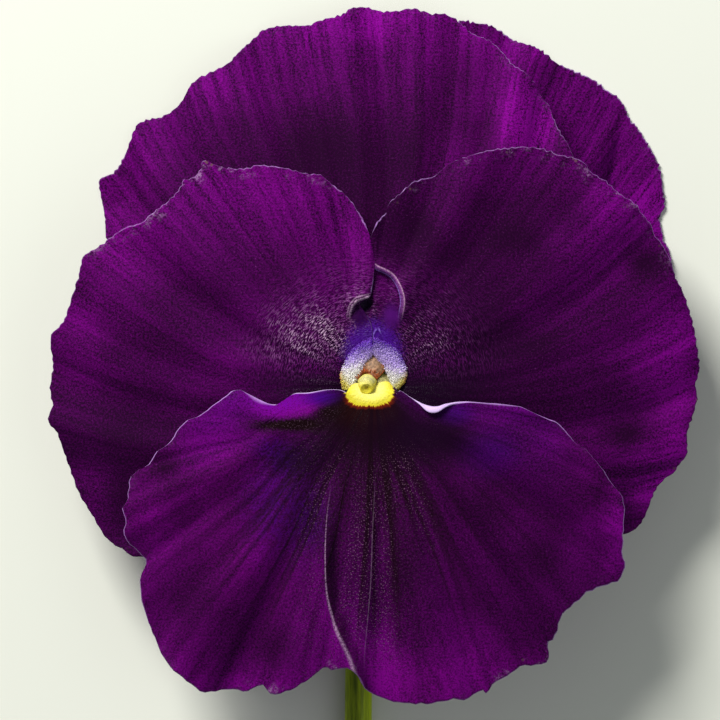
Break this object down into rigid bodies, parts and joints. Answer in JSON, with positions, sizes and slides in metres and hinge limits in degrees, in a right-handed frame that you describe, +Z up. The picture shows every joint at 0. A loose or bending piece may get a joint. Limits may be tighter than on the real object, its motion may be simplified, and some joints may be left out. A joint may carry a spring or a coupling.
{
  "type": "pansy flower",
  "caption": "Cut pansy flower lying face up: broad velvety purple petals, a yellow throat with pale beards, green sepals, and a stem that hooks round behind.",
  "frame": {"origin": "on the surface that the flower lies on, under the middle of its bounding box", "axes": "+Z up, out of the flower's face; +Y from the cut end of the stem towards the top of the flower; +X to the flower's right as seen from above"},
  "size_m": [0.0654, 0.1188, 0.0172],
  "materials": {
    "stem_green": "satin",
    "sepal_green": "matte",
    "petal_purple": "matte",
    "petal_dark_purple": "matte",
    "stamen_brown": "matte",
    "stigma_yellow": "satin",
    "beard_white": "matte"
  },
  "bodies": {
    "root": {"stem": "stem_green", "sepal_lower_left": "sepal_green", "sepal_lower_right": "sepal_green", "sepal_top": "sepal_green", "sepal_upper_left": "sepal_green", "sepal_upper_right": "sepal_green", "petal_lower": "petal_purple", "petal_side_left": "petal_purple", "petal_side_right": "petal_purple", "petal_upper_left": "petal_dark_purple", "petal_upper_right": "petal_dark_purple", "stamen_top": "stamen_brown", "stamen_side_left": "stamen_brown", "stamen_side_right": "stamen_brown", "stamen_lower_left": "stamen_brown", "stamen_lower_right": "stamen_brown", "pistil": "stigma_yellow", "beard_left": "beard_white", "beard_right": "beard_white"}
  },
  "joints": []
}
